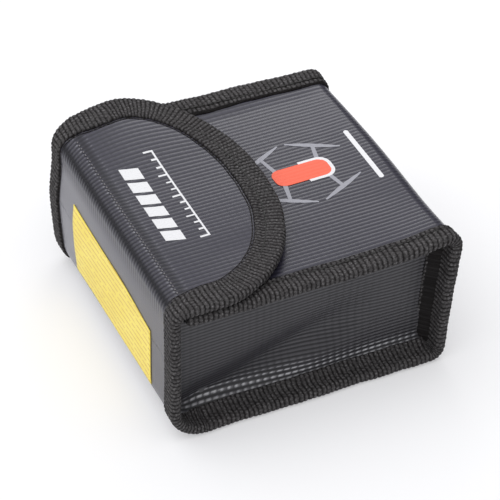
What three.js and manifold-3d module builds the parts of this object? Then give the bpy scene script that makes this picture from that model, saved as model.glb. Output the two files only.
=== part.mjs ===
// Fire-resistant battery pouch: a soft box-shaped bag that lies on its back panel with its flap closed.
// One strip of coated cloth runs round the bag as front, bottom and back panel, goes on as the lid
// over the mouth and ends as a rounded flap on the front panel. Two side gussets close the box. Every
// seam edge stands outwards and is wrapped in woven tape.
// Millimetres, +Z up. X runs from the lid (-X) to the bottom of the bag (+X), Y from gusset to gusset.
// The origin is on the table, under the middle of the bag.

import * as THREE from 'three';
import { mergeVertices } from 'three/addons/utils/BufferGeometryUtils.js';
import Module from 'manifold-3d';

// ---- driving dimensions ----

const LENGTH = 110;        // face of the lid to the bottom of the bag, along X
const WIDTH = 114;         // seam edge to seam edge, along Y
const HEIGHT = 56.5;       // table to the top of the seam tape, along Z
const FLAP_TOP = 60.6;     // table to the top of the flap's tape
const SEAM = 10;           // the seam edges stand this far out from the gussets
const HEM = 8;             // width of the tape on the mouth edge of the front panel

const CLOTH = 0.9;         // coated outer cloth
const LINING = 0.6;        // inner cloth
const TAPE = 0.7;          // woven tape
const GAP = 0.3;           // clearance between neighbouring layers

const BOTTOM_FOLD_R = 6;   // front to bottom, and bottom to back
const LID_BEND_R = 13;     // back to lid
const FLAP_FOLD_R = 6;     // lid to flap
const LID_SPLIT = 2;       // half the angle left free at the lid's hinge, degrees
const FLAP_SPLIT = 5;      // half the angle left free at the flap's hinge, degrees
const BEND_STEPS = 8;      // straight steps round a quarter of a fold

const FLAP_REACH = 64.5;   // fold to the tip of the flap
const FLAP_STRAIGHT = 22;  // stretch of the flap with parallel edges
const FLAP_ROUNDNESS = 2.1;// exponent of the rounded end: 2 is an ellipse, more is squarer
const FLAP_SKEW = 4.5;     // the tip lies this far towards +Y
const FLAP_STEPS = 40;     // straight steps round the flap's end

const LABEL = { y0: -36, y1: 34, z0: 11, z1: 39, thick: 0.5 };
const FASTENER = { x0: -27, x1: -7, halfWidth: 22, loop: 0.8, hook: 0.6 };

// ---- places worked out from them ----

const LID_X = -LENGTH / 2;
const BOTTOM_X = LENGTH / 2;
const EDGE_Y = WIDTH / 2;
const GUSSET_Y = EDGE_Y - SEAM;

// Depths are counted inwards from the outermost face, which is the face of the tape.
const OUTER_TOP = TAPE + GAP;
const OUTER_LOW = OUTER_TOP + CLOTH;
const INNER_TOP = OUTER_LOW + GAP;
const FLANGE_LOW = INNER_TOP + CLOTH;
const LINING_LOW = INNER_TOP + LINING;
const SEAM_THICK = FLANGE_LOW + GAP + TAPE;
const HEM_THICK = LINING_LOW + GAP + TAPE;

const MOUTH_X = LID_X + FLAP_FOLD_R;
const MOUTH_CLOTH_X = MOUTH_X + TAPE + GAP;
const CLOTH_EDGE_Y = EDGE_Y - TAPE - GAP;
const GUSSET_LINING_Y = GUSSET_Y - CLOTH - GAP;

const COLOURS = {
  cloth: { color: 0x55545f, roughness: 0.42, metalness: 0 },
  tape: { color: 0x343531, roughness: 0.9, metalness: 0 },
  lining: { color: 0x6e6e73, roughness: 0.6, metalness: 0 },
  label: { color: 0xf7e082, roughness: 0.5, metalness: 0 },
  fastener: { color: 0x1f1f21, roughness: 1, metalness: 0 },
};
const MATERIALS = Object.fromEntries(
  Object.entries(COLOURS).map(([name, look]) => [name, new THREE.MeshStandardMaterial(look)]),
);

// ---- solids ----

const manifold = await Module();
manifold.setup();

function solid(geometry) {
  const bare = geometry.clone();
  bare.deleteAttribute('normal');
  bare.deleteAttribute('uv');
  const merged = mergeVertices(bare, 1e-5);
  return new manifold.Manifold(new manifold.Mesh({
    numProp: 3,
    vertProperties: new Float32Array(merged.attributes.position.array),
    triVerts: new Uint32Array(merged.index.array),
  }));
}

function geometryOf(body) {
  const mesh = body.getMesh();
  const geometry = new THREE.BufferGeometry();
  geometry.setAttribute('position', new THREE.BufferAttribute(mesh.vertProperties, mesh.numProp));
  geometry.setIndex(new THREE.BufferAttribute(mesh.triVerts, 1));
  geometry.computeVertexNormals();
  return geometry;
}

// An outline drawn in X and Z, made solid from y0 to y1.
function acrossBag(points, y0, y1) {
  const shape = new THREE.Shape(points);
  const geometry = new THREE.ExtrudeGeometry(shape, { depth: y1 - y0, bevelEnabled: false });
  geometry.rotateX(Math.PI / 2);
  geometry.translate(0, y1, 0);
  return geometry;
}

// An outline drawn in X and Y, made solid from z0 to z1.
function upright(points, z0, z1) {
  const geometry = new THREE.ExtrudeGeometry(new THREE.Shape(points), { depth: z1 - z0, bevelEnabled: false });
  geometry.translate(0, 0, z0);
  return geometry;
}

function box(x0, x1, y0, y1, z0, z1) {
  const geometry = new THREE.BoxGeometry(x1 - x0, y1 - y0, z1 - z0);
  geometry.translate((x0 + x1) / 2, (y0 + y1) / 2, (z0 + z1) / 2);
  return geometry;
}

// The same stretch of Y on the left (-Y) or on the right (+Y), as a low and a high value.
function onSide(side, inner, outer) {
  return side < 0 ? [-outer, -inner] : [inner, outer];
}

// ---- the strip's section, in X and Z, at a given depth below its outermost face ----

function arc(x, z, radius, from, to) {
  const steps = Math.max(2, Math.round((BEND_STEPS * Math.abs(to - from)) / 90));
  const points = [];
  for (let i = 0; i <= steps; i += 1) {
    const angle = THREE.MathUtils.degToRad(from + ((to - from) * i) / steps);
    points.push(new THREE.Vector2(x + radius * Math.cos(angle), z + radius * Math.sin(angle)));
  }
  return points;
}

const FOLD_X = BOTTOM_X - BOTTOM_FOLD_R;
const BEND_X = LID_X + LID_BEND_R;

function frontPath(depth, startX) {
  return [new THREE.Vector2(startX, HEIGHT - depth), new THREE.Vector2(FOLD_X - GAP, HEIGHT - depth)];
}

function bottomPath(depth) {
  return [
    ...arc(FOLD_X, HEIGHT - BOTTOM_FOLD_R, BOTTOM_FOLD_R - depth, 90, 0),
    ...arc(FOLD_X, BOTTOM_FOLD_R, BOTTOM_FOLD_R - depth, 0, -90),
  ];
}

function backPath(depth, extra = 0) {
  return [
    new THREE.Vector2(FOLD_X - GAP, depth),
    ...arc(BEND_X, LID_BEND_R, LID_BEND_R - depth, -90, -135 + LID_SPLIT - extra),
  ];
}

function seamPath(depth, extra = 0) {
  return [...frontPath(depth, MOUTH_X - extra), ...bottomPath(depth), ...backPath(depth, extra)];
}

function lidPath(depth, extra = 0) {
  const foldZ = FLAP_TOP - FLAP_FOLD_R;
  return [
    ...arc(BEND_X, LID_BEND_R, LID_BEND_R - depth, -135 - LID_SPLIT + extra, -180),
    ...arc(LID_X + FLAP_FOLD_R, foldZ, FLAP_FOLD_R - depth, 180, 135 + FLAP_SPLIT - extra),
  ];
}

function flapPath(depth, extra = 0) {
  const foldZ = FLAP_TOP - FLAP_FOLD_R;
  return [
    ...arc(LID_X + FLAP_FOLD_R, foldZ, FLAP_FOLD_R - depth, 135 - FLAP_SPLIT + extra, 90),
    new THREE.Vector2(LID_X + FLAP_REACH + GAP, FLAP_TOP - depth),
  ];
}

// The closed outline between two depths of one stretch of the strip.
function layer(path, top, low) {
  return [...path(top), ...path(low).reverse()];
}

// The inside of the box at a given depth. Its lower corner at the mouth follows the lid's bend,
// at the depth that leaves the lid free.
function insideOutline(depth) {
  const clear = LID_BEND_R - HEM_THICK - GAP;
  const toMouth = THREE.MathUtils.radToDeg(Math.acos((BEND_X - MOUTH_CLOTH_X) / clear));
  return [
    ...frontPath(depth, MOUTH_CLOTH_X),
    ...bottomPath(depth),
    ...backPath(depth),
    ...arc(BEND_X, LID_BEND_R, clear, -135 + LID_SPLIT, -180 + toMouth),
  ];
}

// ---- the flap's outline, in X and Y, drawn in from its edge by an inset ----

function flapOutline(inset) {
  const startX = LID_X - 1;
  const bendX = LID_X + FLAP_STRAIGHT;
  const long = FLAP_REACH - FLAP_STRAIGHT - inset;
  const half = EDGE_Y - inset;
  const power = 2 / FLAP_ROUNDNESS;
  const points = [new THREE.Vector2(startX, -half)];
  for (let i = 0; i <= FLAP_STEPS; i += 1) {
    const angle = -Math.PI / 2 + (Math.PI * i) / FLAP_STEPS;
    const sine = Math.sin(angle);
    const x = bendX + long * Math.abs(Math.cos(angle)) ** power;
    const y = half * Math.sign(sine) * Math.abs(sine) ** power;
    points.push(new THREE.Vector2(x, y + (FLAP_SKEW * (x - bendX)) / (FLAP_REACH - FLAP_STRAIGHT)));
  }
  points.push(new THREE.Vector2(startX, half));
  return points;
}

function flapPrism(inset) {
  return solid(upright(flapOutline(inset), 0, FLAP_TOP + 1));
}

// ---- the object ----

const pouch = new THREE.Group();

function add(name, geometry, material) {
  const mesh = new THREE.Mesh(geometry, MATERIALS[material]);
  mesh.name = name;
  pouch.add(mesh);
}

// Front, bottom and back: three stretches of the one strip, each with a lining stretch inside it.
function addBodyPanels() {
  const stretches = {
    front: (depth) => frontPath(depth, MOUTH_CLOTH_X),
    bottom: bottomPath,
    back: backPath,
  };
  for (const [place, path] of Object.entries(stretches)) {
    const cloth = layer(path, OUTER_TOP, OUTER_LOW);
    const lining = layer(path, INNER_TOP, LINING_LOW);
    add(`${place}_panel`, acrossBag(cloth, -CLOTH_EDGE_Y, CLOTH_EDGE_Y), 'cloth');
    add(`${place}_lining`, acrossBag(lining, -GUSSET_LINING_Y, GUSSET_LINING_Y), 'lining');
  }
}

// A gusset is a flat plate whose edge turns outwards into the seam on three sides.
function addGusset(name, side) {
  const plate = acrossBag(insideOutline(INNER_TOP), ...onSide(side, GUSSET_Y - CLOTH, GUSSET_Y));
  const turned = (depth) => [...frontPath(depth, MOUTH_CLOTH_X), ...bottomPath(depth), ...backPath(depth)];
  const flangeOutline = layer(turned, INNER_TOP, FLANGE_LOW);
  const flange = acrossBag(flangeOutline, ...onSide(side, GUSSET_Y - CLOTH, CLOTH_EDGE_Y));
  add(`${name}_gusset`, geometryOf(solid(plate).add(solid(flange))), 'cloth');

  const lining = insideOutline(LINING_LOW + GAP);
  const span = onSide(side, GUSSET_LINING_Y - LINING, GUSSET_LINING_Y);
  add(`${name}_gusset_lining`, acrossBag(lining, ...span), 'lining');
}

// Tape folded round an edge of the strip: a thick band with a slot for the cloth.
function foldedTape(path, thick, side) {
  const whole = acrossBag(layer(path, 0, thick), ...onSide(side, GUSSET_Y, EDGE_Y));
  const slotPath = (depth) => path(depth, 1);
  const slot = acrossBag(layer(slotPath, TAPE, thick - TAPE), ...onSide(side, GUSSET_Y - 1, EDGE_Y - TAPE));
  return geometryOf(solid(whole).subtract(solid(slot)));
}

// Tape round the mouth edge of the front panel. The gussets' mouth edges are cut plain.
function addMouthTape() {
  const inner = GUSSET_LINING_Y - LINING - GAP;
  const outer = GUSSET_Y - GAP;
  const hemX = MOUTH_X + HEM;

  const topLeaf = box(MOUTH_X, hemX, -outer, outer, HEIGHT - TAPE, HEIGHT);
  const web = box(MOUTH_X, MOUTH_X + TAPE, -inner, inner, HEIGHT - HEM_THICK, HEIGHT);
  const lowLeaf = box(MOUTH_X, hemX, -inner, inner, HEIGHT - HEM_THICK, HEIGHT - HEM_THICK + TAPE);
  add('front_mouth_tape', geometryOf(solid(topLeaf).add(solid(web)).add(solid(lowLeaf))), 'tape');
}

function addLid() {
  add('lid_panel', acrossBag(layer(lidPath, OUTER_TOP, OUTER_LOW), -CLOTH_EDGE_Y, CLOTH_EDGE_Y), 'cloth');
  add('lid_lining', acrossBag(layer(lidPath, INNER_TOP, LINING_LOW), -CLOTH_EDGE_Y, CLOTH_EDGE_Y), 'lining');
  add('lid_left_tape', foldedTape(lidPath, HEM_THICK, -1), 'tape');
  add('lid_right_tape', foldedTape(lidPath, HEM_THICK, 1), 'tape');

  const face = LID_X + OUTER_TOP - GAP;
  add('label', box(face - LABEL.thick, face, LABEL.y0, LABEL.y1, LABEL.z0, LABEL.z1), 'label');
}

function addFlap() {
  const cut = flapPrism(TAPE + GAP);
  const sheet = (top, low) => {
    const band = solid(acrossBag(layer(flapPath, top, low), -EDGE_Y - FLAP_SKEW, EDGE_Y + FLAP_SKEW));
    return band.intersect(cut);
  };
  add('flap_panel', geometryOf(sheet(OUTER_TOP, OUTER_LOW)), 'cloth');
  add('flap_lining', geometryOf(sheet(INNER_TOP, LINING_LOW)), 'lining');

  const band = (path, top, low) => solid(acrossBag(layer(path, top, low), -WIDTH, WIDTH));
  const whole = band(flapPath, 0, HEM_THICK).intersect(flapPrism(0));
  const slotPath = (depth) => flapPath(depth, 1);
  const slot = band(slotPath, TAPE, HEM_THICK - TAPE).intersect(flapPrism(TAPE));
  add('flap_tape', geometryOf(whole.subtract(slot).subtract(flapPrism(SEAM))), 'tape');
}

// Hook strip under the flap, loop strip under it on the front panel.
function addFastener() {
  const { x0, x1, halfWidth, loop, hook } = FASTENER;
  const panelZ = HEIGHT - OUTER_TOP + GAP;
  const flapZ = FLAP_TOP - LINING_LOW - GAP;
  add('loop_strip', box(x0, x1, -halfWidth, halfWidth, panelZ, panelZ + loop), 'fastener');
  add('hook_strip', box(x0, x1, -halfWidth, halfWidth, flapZ - hook, flapZ), 'fastener');
}

addBodyPanels();
addGusset('left', -1);
addGusset('right', 1);
add('left_seam_tape', foldedTape(seamPath, SEAM_THICK, -1), 'tape');
add('right_seam_tape', foldedTape(seamPath, SEAM_THICK, 1), 'tape');
addMouthTape();
addLid();
addFlap();
addFastener();

export default pouch;
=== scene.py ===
"""Looks of a soft battery bag that lies on its back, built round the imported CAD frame.

The outer cloth, the linings and the woven tapes are meshes of their own, lofted along the same strip of
cloth that the CAD solids follow: front, bottom, back, lid and flap in one go. Lengths are in millimetres
until a mesh is made.
"""

import math

import bmesh
import bpy
import numpy as np
from mathutils import Matrix, Vector
from mathutils.geometry import delaunay_2d_cdt


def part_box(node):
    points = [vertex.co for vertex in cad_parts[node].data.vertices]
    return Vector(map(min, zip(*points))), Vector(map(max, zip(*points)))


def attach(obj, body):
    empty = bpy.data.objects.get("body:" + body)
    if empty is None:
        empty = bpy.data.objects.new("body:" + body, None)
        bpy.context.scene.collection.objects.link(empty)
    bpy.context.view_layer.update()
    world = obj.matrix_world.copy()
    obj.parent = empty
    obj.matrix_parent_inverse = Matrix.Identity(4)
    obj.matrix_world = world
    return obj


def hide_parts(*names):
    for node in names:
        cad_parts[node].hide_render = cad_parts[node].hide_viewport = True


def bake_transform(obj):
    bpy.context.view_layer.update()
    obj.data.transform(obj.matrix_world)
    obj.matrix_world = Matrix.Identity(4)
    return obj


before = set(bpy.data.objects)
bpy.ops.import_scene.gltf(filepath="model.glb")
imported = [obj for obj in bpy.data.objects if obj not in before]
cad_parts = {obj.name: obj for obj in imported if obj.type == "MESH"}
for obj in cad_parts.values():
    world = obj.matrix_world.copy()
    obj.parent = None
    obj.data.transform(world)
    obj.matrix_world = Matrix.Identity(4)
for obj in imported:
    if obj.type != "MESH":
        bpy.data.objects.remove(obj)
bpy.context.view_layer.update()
MM = 0.001


def cad(node, corner, axis):
    """One side of a CAD node's box in millimetres: corner 0 is the low side and 1 the high one."""
    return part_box(node)[corner]["xyz".index(axis)] / MM


# ---- places, from the frame ----

LID_X = cad("lid_left_tape", 0, "x")
BOTTOM_X = cad("left_seam_tape", 1, "x")
EDGE_Y = cad("right_seam_tape", 1, "y")
GUSSET_Y = cad("right_seam_tape", 0, "y")
TOP_Z = cad("left_seam_tape", 1, "z")
FLAP_Z = cad("flap_tape", 1, "z")
TIP_DRAW_IN = 1.7                  # the soft flap's tip draws in a little
TIP_X = cad("flap_tape", 1, "x") - TIP_DRAW_IN
MOUTH_X = cad("front_mouth_tape", 0, "x")
PANEL_Z = cad("front_panel", 1, "z")
LABEL_Y = cad("label", 0, "y"), cad("label", 1, "y")
LABEL_Z = cad("label", 0, "z"), cad("label", 1, "z")
SEAM = EDGE_Y - GUSSET_Y
SIDES = (("left", -1), ("right", 1))

# ---- layers and folds ----

CLOTH_DEPTH = TOP_Z - PANEL_Z      # the cloth lies this far below the face of the tape
CLOTH_THICK = 0.9
CLOTH_INSET = 1.6                  # the cloth ends this far inside the edge of its tape
TUCK = 0.6                         # a sheet's end goes this far under the next one
TUCK_DEPTH = 0.15
LINING_DEPTH = 2.2
LINING_THICK = 0.6
SEAM_THICK = 4.1                   # tape over the seam's layers
HEM_THICK = 3.8                    # tape over the lid's and the flap's own edge
TAPE_LEAF = SEAM - 1.0             # width of the folded tape on seams and lid

BOTTOM_FOLD_R = 6.0
LID_BEND_R = 13.0
FLAP_FOLD_R = 6.0
FLAP_STRAIGHT = 22.0               # stretch of the flap with parallel edges
FLAP_ROUNDNESS = 2.1               # exponent of its rounded end: 2 is an ellipse
FLAP_SKEW = 4.5                    # its tip lies this far towards +Y
FLAP_TAPE = 12.0                   # width of the folded tape on the flap
FLAP_CORNER_X = LID_X + FLAP_STRAIGHT
FLAP_LEAST_HALF = 2.0              # the flap's cloth is at least this wide to each side at its tip

# ---- weave ----

RIB_PITCH = 1.86                   # ribs of the strip's cloth, across Y
GUSSET_RIB_PITCH = 1.49            # ribs of the gussets' cloth, across their height
CROSS_PITCH = 2.85                 # fainter lines across the ribs
TAPE_PITCH = 1.79                  # ribs across the woven tape
RIB_HEIGHT = 0.09
GUSSET_RIB_HEIGHT = 0.2
TAPE_RIB_HEIGHT = 0.42


# ---- small helpers on arrays ----


def smooth(t):
    """0 before 0, 1 after 1, and a soft step between them."""
    t = np.clip(t, 0.0, 1.0)
    return t * t * (3 - 2 * t)


def bump(d, width):
    """A bell that is 1 at the middle."""
    return np.exp(-((d / width) ** 2))


def stacked(x, y, z):
    """Points (..., 3) from three coordinates that broadcast together."""
    return np.stack(np.broadcast_arrays(x, y, z), -1)


def wander(t, seed, length=30.0):
    """A slow, smooth, repeatable wander between about -1 and 1."""
    r = np.random.default_rng(seed)
    out = np.zeros_like(np.asarray(t, float))
    for k in range(1, 6):
        out += np.sin(2 * np.pi * k * np.asarray(t) / length / 1.7 + r.uniform(0, 6.283)) / k
    return out / 1.9


# ---- the strip's section: where it runs in X and Z, and which way it faces ----


def strip_track():
    """Arc length, x, z and the angle that the face points at, from the mouth of the front panel round to the
    tip of the flap, at the face of the tape. Also the arc lengths at which its lines and arcs meet."""
    fold_x = BOTTOM_X - BOTTOM_FOLD_R
    bend_x = LID_X + LID_BEND_R
    top_fold_x = LID_X + FLAP_FOLD_R
    top_fold_z = FLAP_Z - FLAP_FOLD_R
    pieces = [
        ("line", (MOUTH_X, TOP_Z), (fold_x, TOP_Z), 90),
        ("arc", (fold_x, TOP_Z - BOTTOM_FOLD_R), BOTTOM_FOLD_R, 90),
        ("line", (BOTTOM_X, TOP_Z - BOTTOM_FOLD_R), (BOTTOM_X, BOTTOM_FOLD_R), 0),
        ("arc", (fold_x, BOTTOM_FOLD_R), BOTTOM_FOLD_R, 0),
        ("line", (fold_x, 0), (bend_x, 0), -90),
        ("arc", (bend_x, LID_BEND_R), LID_BEND_R, -90),
        ("line", (LID_X, LID_BEND_R), (LID_X, top_fold_z), -180),
        ("arc", (top_fold_x, top_fold_z), FLAP_FOLD_R, -180),
        ("line", (top_fold_x, FLAP_Z), (TIP_X + 2, FLAP_Z), -270),
    ]
    rows, marks, s = [], [0.0], 0.0
    for piece in pieces:
        if piece[0] == "line":
            _, (x0, z0), (x1, z1), facing = piece
            length = math.hypot(x1 - x0, z1 - z0)
            t = np.linspace(0, 1, 3)
            columns = [s + t * length, x0 + t * (x1 - x0), z0 + t * (z1 - z0), t * 0 + facing]
        else:
            _, (cx, cz), radius, start = piece
            length = radius * math.pi / 2
            t = np.linspace(0, 1, 41)
            angle = start - 90 * t
            a = np.radians(angle)
            columns = [s + t * length, cx + radius * np.cos(a), cz + radius * np.sin(a), angle]
        rows.append(np.stack(columns, 1))
        s += length
        marks.append(s)
    return np.concatenate(rows), marks


TRACK, MARKS = strip_track()
S_MOUTH, S_FOLD, _, S_FOLD_LOW, S_BACK, S_BEND, S_LID, S_TOP_FOLD, S_FLAP, _ = MARKS
S_SPLIT = (S_LID + S_TOP_FOLD) / 2       # the lid's lower and upper halves are two pieces


def along(s):
    """x, z and the unit normal (nx, nz) of the strip at arc length s."""
    x = np.interp(s, TRACK[:, 0], TRACK[:, 1])
    z = np.interp(s, TRACK[:, 0], TRACK[:, 2])
    a = np.radians(np.interp(s, TRACK[:, 0], TRACK[:, 3]))
    return x, z, np.cos(a), np.sin(a)


def s_on_flap(x):
    """Arc length at x on the flap."""
    return S_FLAP + (x - (LID_X + FLAP_FOLD_R))


# ---- how the filled bag settles out of its straight box ----


def settle(p):
    """Moves points (..., 3) from the straight box to the soft bag's shape."""
    x, y, z = p[..., 0], p[..., 1], p[..., 2]
    up = np.clip(z / TOP_Z, 0, 1.2)
    high = smooth((up - 0.35) / 0.6)
    far = smooth((y + 20) / 77)
    on_top = smooth((z - TOP_Z + 1) / 2.5)          # only the flap lies this high
    below = 1 - on_top

    # The bottom of the bag leans out at its top, and its two upper corners stand up.
    end = smooth((x - 5) / 50)
    lean = end * (3.4 * up - 0.4)
    near_corner = bump(x - BOTTOM_X, 16) * bump(y + EDGE_Y, 20) * high
    far_corner = bump(x - BOTTOM_X, 14) * bump(y - EDGE_Y, 16) * high

    # The lid bulges, more so on the far side.
    lid = smooth((LID_X + 20 - x) / 20)
    low = smooth((34 - z) / 34)
    lid_out = lid * far * smooth((52 - z) / 20) * 1.7
    lid_in = lid * low * (2.0 * far - 0.5) * smooth(z / 12)

    # The flap's far edge stands out, the far seam's lip follows it, and the flap's near edge lifts a little.
    flap_out = smooth((y - 8) / 49) * bump(x + 27, 27) * smooth((x + 58) / 14) * on_top
    far_lip = smooth((y - 43) / 12) * high * (1 - 0.45 * smooth((x + 5) / 55)) * smooth((x + 52) / 14)
    near_lift = smooth((-y - 30) / 27) * bump(x + 20, 16) * on_top
    sway = 0.6 * wander(x, 11, 60) * up * end
    moved = [
        x + lean + 0.8 * near_corner + lid_in - lid_out,
        y + sway + 2.2 * far_lip * below + 7.2 * flap_out,
        z + 2.6 * near_corner + 0.3 * far_corner + 1.7 * far_lip * below + 1.9 * flap_out + 0.7 * near_lift,
    ]
    return np.stack(moved, -1)


# ---- cloth height: ribs and fainter lines across them ----


def cosine(t, pitch):
    """A wave between 0 and 1 of the given pitch."""
    return 0.5 + 0.5 * np.cos(2 * np.pi * t / pitch)


def ribs(across, lengthwise, pitch):
    """0 in the valleys and 1 on the ribs, with fine lines across."""
    wave = cosine(across, pitch)
    cross = cosine(lengthwise, CROSS_PITCH)
    return wave ** 0.55 * (1 - 0.28 * cross ** 6)


def panel_swell(s, y):
    """How far the strip's cloth stands out between the seams."""
    inside = np.clip(1 - (y / GUSSET_Y) ** 2, 0, 1)
    front = bump(s - (S_FOLD - 30), 40) * -0.5
    bottom = smooth((s - S_FOLD + 12) / 20) * smooth((S_BACK - s) / 20) * 1.6
    lid = smooth((s - S_LID) / 10) * smooth((S_TOP_FOLD - s) / 10) * 0.5
    return inside * (front + bottom + lid) + 0.12 * wander(s, 3, 45) * wander(y, 4, 38) * inside


def strip_surface(s, y, lift):
    """Points on the strip's cloth at arc length s and width y, lifted off it by lift."""
    x, z, nx, nz = along(s)
    out = lift + panel_swell(s, y) - CLOTH_DEPTH
    return settle(stacked(x + nx * out, y, z + nz * out))


def on_lid(s):
    """1 on the flat of the lid and 0 away from it."""
    return smooth((s - S_BEND - 8) / 10) * smooth((S_TOP_FOLD - 1 - s) / 7)


def rib_strength(s):
    """The ribs are pulled flat on the lid and gathered up at the flap's fold."""
    at_fold = bump(s - (S_TOP_FOLD + S_FLAP) / 2, 5.5)
    return 1 - 0.85 * on_lid(s) + 1.3 * at_fold


def cloth_relief(s, y):
    """The ribs' relief for the material, pulled down in two bands of painted shade by the flap's fold."""
    # Painted shade: two bands by the flap's fold take the dark colour of the valleys.
    wear_and_shade = 1 - 0.95 * bump(s - (S_TOP_FOLD + 4.4), 2.2) - 0.7 * bump(s - (S_FLAP + 2.6), 1.6)
    return wear_and_shade * (0.3 + 0.7 * np.clip(0.8 + (ribs(y, s, RIB_PITCH) - 0.8) * rib_strength(s), 0, 1.0))


def cloth_lift(s, y):
    """How far the ribs stand out."""
    return RIB_HEIGHT * rib_strength(s) * ribs(y, s, RIB_PITCH)


# ---- meshes ----

SHELL_STEP = 6                     # a shell's inner grid keeps one point in this many


def make_mesh(name, points, faces, material, relief=None, weave=None, glint=None):
    """A piece from points in millimetres. Its relief (0 to 1), its place in the weave and its glint, a
    painted highlight that pales its colour, are kept for the material. Only four-cornered faces are smooth."""
    mesh = bpy.data.meshes.new(name)
    mesh.from_pydata((points * MM).tolist(), [], faces)
    for key, values in (("relief", relief), ("glint", glint)):
        if values is not None:
            mesh.attributes.new(key, "FLOAT", "POINT").data.foreach_set("value", values.astype(np.float32))
    if weave is not None:
        flat = np.ascontiguousarray(weave, np.float32).ravel()
        mesh.attributes.new("weave", "FLOAT_VECTOR", "POINT").data.foreach_set("vector", flat)
    bm = bmesh.new()
    bm.from_mesh(mesh)
    bmesh.ops.recalc_face_normals(bm, faces=bm.faces)
    bm.to_mesh(mesh)
    bm.free()
    mesh.polygons.foreach_set("use_smooth", [len(face.vertices) == 4 for face in mesh.polygons])
    mesh.materials.append(material)
    obj = bpy.data.objects.new(name, mesh)
    bpy.context.scene.collection.objects.link(obj)
    return obj


def quads(rows, columns, at):
    """The faces of a grid whose point (i, j) has the number at(i, j)."""
    i, j = np.meshgrid(np.arange(rows - 1), np.arange(columns - 1), indexing="ij")
    return np.stack([at(i, j), at(i + 1, j), at(i + 1, j + 1), at(i, j + 1)], -1).reshape(-1, 4).tolist()


def shell(name, outer, inner, relief, weave, material, glint=None):
    """A closed sheet: a fine outer grid, and an inner one that keeps one row and column in SHELL_STEP."""
    nu, nv = outer.shape[:2]
    step = SHELL_STEP
    low = inner[::step, ::step]
    mu, mv = low.shape[:2]
    base = nu * nv

    def fine(i, j):
        return i * nv + j

    def rough(i, j):
        return base + i * mv + j

    faces = quads(nu, nv, fine)
    faces += [[a, d, c, b] for a, b, c, d in quads(mu, mv, rough)]
    for j_fine, j_rough in ((0, 0), (nv - 1, mv - 1)):
        for k in range(mu - 1):
            rim = [fine(i, j_fine) for i in range(k * step, (k + 1) * step + 1)]
            faces.append(rim + [rough(k + 1, j_rough), rough(k, j_rough)])
    for i_fine, i_rough in ((0, 0), (nu - 1, mu - 1)):
        for k in range(mv - 1):
            rim = [fine(i_fine, j) for j in range(k * step, (k + 1) * step + 1)]
            faces.append(rim + [rough(i_rough, k + 1), rough(i_rough, k)])
    points = np.concatenate([outer.reshape(-1, 3), low.reshape(-1, 3)])
    extra = len(points) - base
    height = np.concatenate([relief.ravel(), np.full(extra, 0.5)])
    place = np.concatenate([weave.reshape(-1, 3), np.zeros((extra, 3))])
    if glint is not None:
        glint = np.concatenate([glint.ravel(), np.zeros(extra)])
    return make_mesh(name, points, faces, material, height, place, glint)


def loft(name, rings, relief, weave, material):
    """A closed body through closed rings of equal point count, capped at both ends."""
    ns, m = rings.shape[:2]
    faces = quads(ns, m + 1, lambda i, j: i * m + j % m)
    faces.append(list(range(m)))
    faces.append(list(range((ns - 1) * m, ns * m)))
    return make_mesh(name, rings.reshape(-1, 3), faces, material, relief.ravel(), weave.reshape(-1, 3))


def steps_of(length, size):
    """A point count whose spaces number a multiple of the shell's step and are about size long."""
    return int(math.ceil(length / size / SHELL_STEP)) * SHELL_STEP + 1


# ---- materials ----


class Nodes:
    """A short way to build the node tree of a material, or of the world."""

    def __init__(self, name, world=None):
        self.owner = world or bpy.data.materials.new(name)
        self.owner.use_nodes = True
        self.tree = self.owner.node_tree
        self.shader = self.tree.nodes.get("Principled BSDF")

    def add(self, kind, **values):
        node = self.tree.nodes.new("ShaderNode" + kind)
        for key, value in values.items():
            setattr(node, key, value)
        return node

    def put(self, socket, value):
        """Gives a socket a number or a colour, or links it to another node."""
        if isinstance(value, tuple):
            socket.default_value = (*value, 1)
        elif isinstance(value, (int, float)):
            socket.default_value = value
        else:
            self.tree.links.new(value, socket)

    def fill(self, node, **values):
        for key, value in values.items():
            self.put(node.inputs[key.replace("_", " ")], value)
        return node

    def set(self, **values):
        self.fill(self.shader, **values)
        return self.owner

    def attribute(self, name, output="Fac"):
        return self.add("Attribute", attribute_name=name).outputs[output]

    def weave(self):
        """Where a point lies in its piece's weave, in millimetres."""
        return self.attribute("weave", "Vector")

    def noise(self, vector, scale, detail=3.0, rough=0.6):
        node = self.fill(self.add("TexNoise"), Scale=scale, Detail=detail, Roughness=rough, Vector=vector)
        return node.outputs["Fac"]

    def math(self, operation, a, b=0.5):
        node = self.add("Math", operation=operation)
        self.put(node.inputs[0], a)
        self.put(node.inputs[1], b)
        return node.outputs[0]

    def ramp(self, factor, stops):
        node = self.fill(self.add("ValToRGB"), Fac=factor)
        elements = node.color_ramp.elements
        while len(elements) < len(stops):
            elements.new(0.5)
        for element, (place, colour) in zip(elements, stops):
            element.position = place
            element.color = (*colour, 1)
        return node.outputs["Color"]

    def span(self, factor, low, high, from_low=0.0, from_high=1.0):
        node = self.fill(self.add("MapRange"), Value=factor, From_Min=from_low, From_Max=from_high,
                         To_Min=low, To_Max=high)
        return node.outputs["Result"]

    def mix(self, factor, a, b, blend="MIX"):
        node = self.add("Mix", data_type="RGBA", blend_type=blend)
        for socket, value in ((node.inputs[0], factor), (node.inputs[6], a), (node.inputs[7], b)):
            self.put(socket, value)
        return node.outputs[2]

    def bump(self, height, strength, distance):
        node = self.fill(self.add("Bump"), Height=height, Strength=strength, Distance=distance)
        self.put(self.shader.inputs["Normal"], node.outputs["Normal"])


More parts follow.
